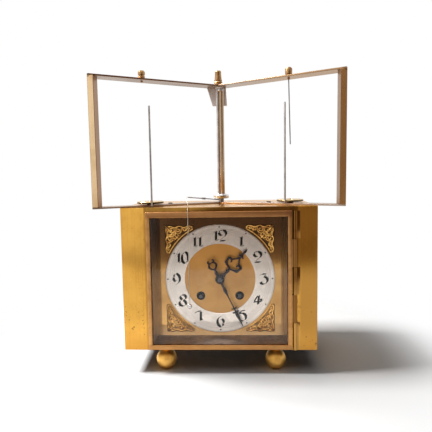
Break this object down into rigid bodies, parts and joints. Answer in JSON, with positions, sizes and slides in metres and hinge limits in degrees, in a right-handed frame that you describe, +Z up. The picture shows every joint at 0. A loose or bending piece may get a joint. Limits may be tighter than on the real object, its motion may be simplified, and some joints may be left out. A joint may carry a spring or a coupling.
{
  "type": "flying pendulum table clock",
  "caption": "Brass table clock on ball feet with a glazed door, recessed dial, and an open frame on top in which an arm carries a bob on a thread.",
  "frame": {"origin": "middle of the object's footprint, on the surface it stands on", "axes": "+Z up, +X to the right seen from the front, +Y to the back; the dial faces -Y"},
  "size_m": [0.23, 0.1284, 0.2988],
  "materials": {
    "dark_steel": "dark drawn wire",
    "brass": "brushed",
    "turned_brass": "polished",
    "bob_metal": "polished",
    "nickel": "polished nickel",
    "silvered": "silvered brass",
    "glass": "clear",
    "steel": "polished steel",
    "blued_steel": "blued steel",
    "thread": "matt twisted thread"
  },
  "bodies": {
    "case": {"base_plate": "brass", "top_plate": "brass", "side_plate_left": "brass", "side_plate_right": "brass", "front_plate": "brass", "back_plate": "brass", "ball_feet": "turned_brass", "dial_surround": "brass", "dial_plate": "brass", "chapter_ring": "silvered", "spandrels": "brass", "front_hinge": "brass", "movement_front_plate": "brass", "movement_back_plate": "brass", "pillars": "brass", "spindle_cock": "brass", "gong": "steel", "lower_strip_left": "brass", "lower_strip_right": "brass", "upper_strip_left": "brass", "upper_strip_right": "brass", "upright_left": "brass", "upright_right": "brass", "frame_screws": "steel", "finial": "turned_brass", "bracket": "nickel", "thread": "thread", "bob": "bob_metal"},
    "front_door": {"door_frame": "brass", "door_glass": "glass"},
    "back_door": {"back_door": "brass"},
    "going_barrel": {"going_barrel": "brass"},
    "going_winding_arbor": {"going_winding_arbor": "steel"},
    "going_click": {"going_click": "steel"},
    "strike_barrel": {"strike_barrel": "brass"},
    "strike_winding_arbor": {"strike_winding_arbor": "steel"},
    "strike_click": {"strike_click": "steel"},
    "centre_wheel": {"centre_wheel": "brass"},
    "third_wheel": {"third_wheel": "brass"},
    "contrate_wheel": {"contrate_wheel": "brass"},
    "spindle": {"spindle_arbor": "steel", "spindle_column": "brass", "spindle_collar": "nickel", "arm": "dark_steel"},
    "minute_hand": {"minute_hand": "blued_steel", "cannon_pinion": "brass", "hand_nut": "brass"},
    "minute_wheel": {"minute_wheel": "brass"},
    "hour_hand": {"hour_wheel": "brass", "hour_hand": "blued_steel"},
    "pin_wheel": {"pin_wheel": "brass"},
    "fly": {"fly": "brass"},
    "hammer": {"hammer": "steel"},
    "disc_left": {"disc_left": "brass", "post_left": "steel"},
    "disc_right": {"disc_right": "brass", "post_right": "steel"},
    "knob_left": {"knob_left": "turned_brass"},
    "knob_right": {"knob_right": "turned_brass", "guard_wire": "steel"}
  },
  "joints": [
    {"name": "front_door_hinge", "type": "hinge", "parent": "case", "child": "front_door", "pos_m": [0.07125, -0.0552, 0.08694], "axis": [0, 0, 1], "range_deg": [0, 110]},
    {"name": "back_door_hinge", "type": "hinge", "parent": "case", "child": "back_door", "pos_m": [0.06785, 0.057, 0.08694], "axis": [0, 0, 1], "range_deg": [-105, 0]},
    {"name": "minute_hand_turn", "type": "hinge", "parent": "case", "child": "minute_hand", "pos_m": [0, -0.0351, 0.08694], "axis": [0, 1, 0], "continuous": true},
    {"name": "minute_wheel_turn", "type": "hinge", "parent": "case", "child": "minute_wheel", "pos_m": [0, -0.0211, 0.09894], "axis": [0, 1, 0], "continuous": true},
    {"name": "hour_hand_turn", "type": "hinge", "parent": "case", "child": "hour_hand", "pos_m": [0, -0.0321, 0.08694], "axis": [0, 1, 0], "continuous": true},
    {"name": "spindle_turn", "type": "hinge", "parent": "case", "child": "spindle", "pos_m": [0.0016, 0.0039, 0.16074], "axis": [0, 0, 1], "continuous": true},
    {"name": "contrate_wheel_turn", "type": "hinge", "parent": "case", "child": "contrate_wheel", "pos_m": [0.0016, -0.0031, 0.11734], "axis": [0, 1, 0], "continuous": true},
    {"name": "third_wheel_turn", "type": "hinge", "parent": "case", "child": "third_wheel", "pos_m": [-0.00844, -0.0031, 0.10362], "axis": [0, 1, 0], "continuous": true},
    {"name": "centre_wheel_turn", "type": "hinge", "parent": "case", "child": "centre_wheel", "pos_m": [0, -0.0031, 0.08694], "axis": [0, 1, 0], "continuous": true},
    {"name": "going_barrel_turn", "type": "hinge", "parent": "case", "child": "going_barrel", "pos_m": [0.0195, -0.0031, 0.06954], "axis": [0, 1, 0], "continuous": true},
    {"name": "going_winding_turn", "type": "hinge", "parent": "case", "child": "going_winding_arbor", "pos_m": [0.0195, -0.0231, 0.06954], "axis": [0, 1, 0], "continuous": true},
    {"name": "going_click_lift", "type": "hinge", "parent": "case", "child": "going_click", "pos_m": [0.0285, -0.0211, 0.06054], "axis": [0, 1, 0], "range_deg": [0, 25]},
    {"name": "strike_winding_turn", "type": "hinge", "parent": "case", "child": "strike_winding_arbor", "pos_m": [-0.0195, -0.0231, 0.06954], "axis": [0, 1, 0], "continuous": true},
    {"name": "strike_click_lift", "type": "hinge", "parent": "case", "child": "strike_click", "pos_m": [-0.0285, -0.0211, 0.06054], "axis": [0, 1, 0], "range_deg": [-25, 0]},
    {"name": "pin_wheel_turn", "type": "hinge", "parent": "case", "child": "pin_wheel", "pos_m": [-0.03424, -0.0031, 0.08911], "axis": [0, 1, 0], "continuous": true},
    {"name": "strike_barrel_turn", "type": "hinge", "parent": "case", "child": "strike_barrel", "pos_m": [-0.0195, -0.0031, 0.06954], "axis": [0, 1, 0], "continuous": true},
    {"name": "fly_turn", "type": "hinge", "parent": "case", "child": "fly", "pos_m": [-0.03129, -0.0031, 0.10585], "axis": [0, 1, 0], "continuous": true},
    {"name": "hammer_lift", "type": "hinge", "parent": "case", "child": "hammer", "pos_m": [-0.052, -0.0031, 0.07494], "axis": [0, 1, 0], "range_deg": [0, 14]},
    {"name": "disc_left_turn", "type": "hinge", "parent": "case", "child": "disc_left", "pos_m": [-0.0675, -0.0311, 0.16074], "axis": [0, 0, 1], "range_deg": [-15, 15]},
    {"name": "disc_right_turn", "type": "hinge", "parent": "case", "child": "disc_right", "pos_m": [0.07, -0.0266, 0.16074], "axis": [0, 0, 1], "range_deg": [-15, 15]},
    {"name": "knob_left_turn", "type": "hinge", "parent": "case", "child": "knob_left", "pos_m": [-0.0723, -0.03223, 0.28284], "axis": [0, 0, 1], "continuous": true},
    {"name": "knob_right_turn", "type": "hinge", "parent": "case", "child": "knob_right", "pos_m": [0.0684, -0.0301, 0.28284], "axis": [0, 0, 1], "continuous": true}
  ],
  "couplings": [
    {"joint": "minute_wheel_turn", "follows": "minute_hand_turn", "ratio": -0.33333},
    {"joint": "hour_hand_turn", "follows": "minute_hand_turn", "ratio": 0.083333},
    {"joint": "contrate_wheel_turn", "follows": "spindle_turn", "ratio": -0.16667},
    {"joint": "third_wheel_turn", "follows": "spindle_turn", "ratio": 0.022222},
    {"joint": "centre_wheel_turn", "follows": "spindle_turn", "ratio": -0.002963},
    {"joint": "going_barrel_turn", "follows": "spindle_turn", "ratio": 0.00057348},
    {"joint": "fly_turn", "follows": "pin_wheel_turn", "ratio": -7.5},
    {"joint": "strike_barrel_turn", "follows": "pin_wheel_turn", "ratio": -0.12903}
  ]
}
